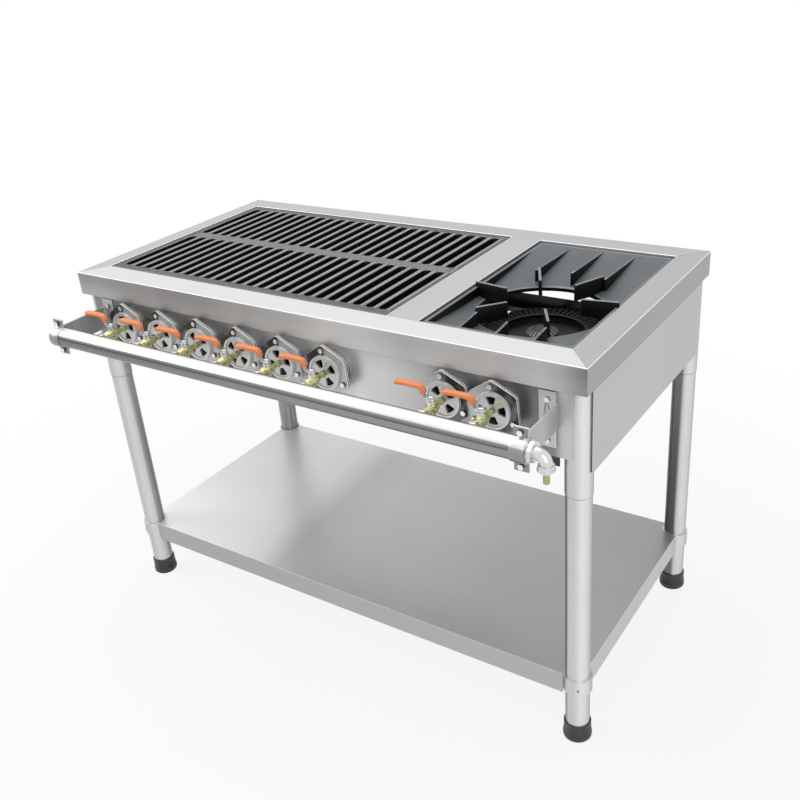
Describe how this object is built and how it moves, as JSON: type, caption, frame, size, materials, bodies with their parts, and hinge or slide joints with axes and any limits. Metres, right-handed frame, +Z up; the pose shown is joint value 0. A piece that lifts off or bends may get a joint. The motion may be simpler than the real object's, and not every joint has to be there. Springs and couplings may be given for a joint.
{
  "type": "gas griddle range",
  "caption": "Free-standing steel gas range on round legs with a slotted cast-iron griddle grate, an open burner under a finned pan support, a front gas pipe with lever valves and a low shelf.",
  "frame": {"origin": "on the floor, under the middle of the whole outline: half way between the gas pipe straps in front and the back of the steel top, and half way across the top", "axes": "+X to the right when facing the valves, +Y to the back, +Z up"},
  "size_m": [1.2, 0.734, 0.816],
  "materials": {
    "deck_steel": "brushed",
    "panel_steel": "brushed",
    "tube_steel": "satin",
    "shelf_steel": "brushed",
    "foot_rubber": "matt",
    "black_rail": "satin black",
    "black_box": "matt black",
    "grate_iron": "as cast, oiled",
    "support_iron": "as cast, painted grey",
    "burner_iron": "as cast",
    "cap_iron": "machined",
    "flange_steel": "satin",
    "gasket_sheet": "matt",
    "plated_fasteners": "bright zinc plate",
    "brass_fittings": "machined",
    "valve_metal": "nickel plate",
    "pipe_steel": "polished",
    "galvanised_elbow": "galvanised",
    "bracket_steel": "satin",
    "shutter_steel": "satin",
    "lever_steel": "bright plate",
    "grip_plastic": "dipped, satin"
  },
  "bodies": {
    "range_frame": {"top_deck": "deck_steel", "front_panel": "panel_steel", "side_panel_left": "panel_steel", "side_panel_right": "panel_steel", "corner_sockets": "tube_steel", "legs": "tube_steel", "feet": "foot_rubber", "shelf": "shelf_steel", "shelf_collars": "tube_steel", "collar_screws": "plated_fasteners", "front_rail": "black_rail", "rear_rail": "black_rail", "hob_rails": "black_rail", "hob_ledge": "black_rail", "fire_box": "black_box", "burner_body": "burner_iron", "grill_burners": "burner_iron", "mouth_flanges": "flange_steel", "mouth_gaskets": "gasket_sheet", "flange_screws": "plated_fasteners", "injectors": "brass_fittings", "valve_bodies": "valve_metal", "manifold_pipe": "pipe_steel", "end_plug": "pipe_steel", "reducer": "plated_fasteners", "elbow": "galvanised_elbow", "hose_nipple": "brass_fittings", "bracket_left": "bracket_steel", "bracket_right": "bracket_steel", "pipe_clamps": "bracket_steel", "clamp_bolts": "plated_fasteners", "bracket_screws": "plated_fasteners"},
    "grate": {"grate": "grate_iron"},
    "pan_support": {"hob_plate": "support_iron"},
    "flame_ring": {"burner_ring": "burner_iron"},
    "flame_cap": {"burner_cap": "cap_iron"},
    "valve_lever_1": {"lever_1": "lever_steel", "grip_1": "grip_plastic"},
    "shutter_1": {"air_shutter_1": "shutter_steel"},
    "valve_lever_2": {"lever_2": "lever_steel", "grip_2": "grip_plastic"},
    "shutter_2": {"air_shutter_2": "shutter_steel"},
    "valve_lever_3": {"lever_3": "lever_steel", "grip_3": "grip_plastic"},
    "shutter_3": {"air_shutter_3": "shutter_steel"},
    "valve_lever_4": {"lever_4": "lever_steel", "grip_4": "grip_plastic"},
    "shutter_4": {"air_shutter_4": "shutter_steel"},
    "valve_lever_5": {"lever_5": "lever_steel", "grip_5": "grip_plastic"},
    "shutter_5": {"air_shutter_5": "shutter_steel"},
    "valve_lever_6": {"lever_6": "lever_steel", "grip_6": "grip_plastic"},
    "shutter_6": {"air_shutter_6": "shutter_steel"},
    "valve_lever_7": {"lever_7": "lever_steel", "grip_7": "grip_plastic"},
    "shutter_7": {"air_shutter_7": "shutter_steel"},
    "valve_lever_8": {"lever_8": "lever_steel", "grip_8": "grip_plastic"},
    "shutter_8": {"air_shutter_8": "shutter_steel"}
  },
  "joints": [
    {"name": "valve_1_turn", "type": "hinge", "parent": "range_frame", "child": "valve_lever_1", "pos_m": [-0.452, -0.289, 0.72825], "axis": [0, 0, 1], "range_deg": [0, 90]},
    {"name": "shutter_1_turn", "type": "hinge", "parent": "range_frame", "child": "shutter_1", "pos_m": [-0.452, -0.25375, 0.711], "axis": [0, 1, 0], "range_deg": [0, 45]},
    {"name": "valve_2_turn", "type": "hinge", "parent": "range_frame", "child": "valve_lever_2", "pos_m": [-0.344, -0.289, 0.72825], "axis": [0, 0, 1], "range_deg": [0, 90]},
    {"name": "shutter_2_turn", "type": "hinge", "parent": "range_frame", "child": "shutter_2", "pos_m": [-0.344, -0.25375, 0.711], "axis": [0, 1, 0], "range_deg": [0, 45]},
    {"name": "valve_3_turn", "type": "hinge", "parent": "range_frame", "child": "valve_lever_3", "pos_m": [-0.236, -0.289, 0.72825], "axis": [0, 0, 1], "range_deg": [0, 90]},
    {"name": "shutter_3_turn", "type": "hinge", "parent": "range_frame", "child": "shutter_3", "pos_m": [-0.236, -0.25375, 0.711], "axis": [0, 1, 0], "range_deg": [0, 45]},
    {"name": "valve_4_turn", "type": "hinge", "parent": "range_frame", "child": "valve_lever_4", "pos_m": [-0.128, -0.289, 0.72825], "axis": [0, 0, 1], "range_deg": [0, 90]},
    {"name": "shutter_4_turn", "type": "hinge", "parent": "range_frame", "child": "shutter_4", "pos_m": [-0.128, -0.25375, 0.711], "axis": [0, 1, 0], "range_deg": [0, 45]},
    {"name": "valve_5_turn", "type": "hinge", "parent": "range_frame", "child": "valve_lever_5", "pos_m": [-0.02, -0.289, 0.72825], "axis": [0, 0, 1], "range_deg": [0, 90]},
    {"name": "shutter_5_turn", "type": "hinge", "parent": "range_frame", "child": "shutter_5", "pos_m": [-0.02, -0.25375, 0.711], "axis": [0, 1, 0], "range_deg": [0, 45]},
    {"name": "valve_6_turn", "type": "hinge", "parent": "range_frame", "child": "valve_lever_6", "pos_m": [0.088, -0.289, 0.72825], "axis": [0, 0, 1], "range_deg": [0, 90]},
    {"name": "shutter_6_turn", "type": "hinge", "parent": "range_frame", "child": "shutter_6", "pos_m": [0.088, -0.25375, 0.711], "axis": [0, 1, 0], "range_deg": [0, 45]},
    {"name": "valve_7_turn", "type": "hinge", "parent": "range_frame", "child": "valve_lever_7", "pos_m": [0.344, -0.289, 0.72825], "axis": [0, 0, 1], "range_deg": [0, 90]},
    {"name": "shutter_7_turn", "type": "hinge", "parent": "range_frame", "child": "shutter_7", "pos_m": [0.344, -0.25375, 0.711], "axis": [0, 1, 0], "range_deg": [0, 45]},
    {"name": "valve_8_turn", "type": "hinge", "parent": "range_frame", "child": "valve_lever_8", "pos_m": [0.44, -0.289, 0.72825], "axis": [0, 0, 1], "range_deg": [0, 90]},
    {"name": "shutter_8_turn", "type": "hinge", "parent": "range_frame", "child": "shutter_8", "pos_m": [0.44, -0.25375, 0.711], "axis": [0, 1, 0], "range_deg": [0, 45]},
    {"name": "grate_lift", "type": "slide", "parent": "range_frame", "child": "grate", "axis": [0, 0, 1], "range_m": [0, 0.25]},
    {"name": "pan_support_lift", "type": "slide", "parent": "range_frame", "child": "pan_support", "axis": [0, 0, 1], "range_m": [0, 0.25]},
    {"name": "flame_ring_lift", "type": "slide", "parent": "range_frame", "child": "flame_ring", "axis": [0, 0, 1], "range_m": [0, 0.03]},
    {"name": "flame_cap_lift", "type": "slide", "parent": "range_frame", "child": "flame_cap", "axis": [0, 0, 1], "range_m": [0, 0.15]}
  ]
}
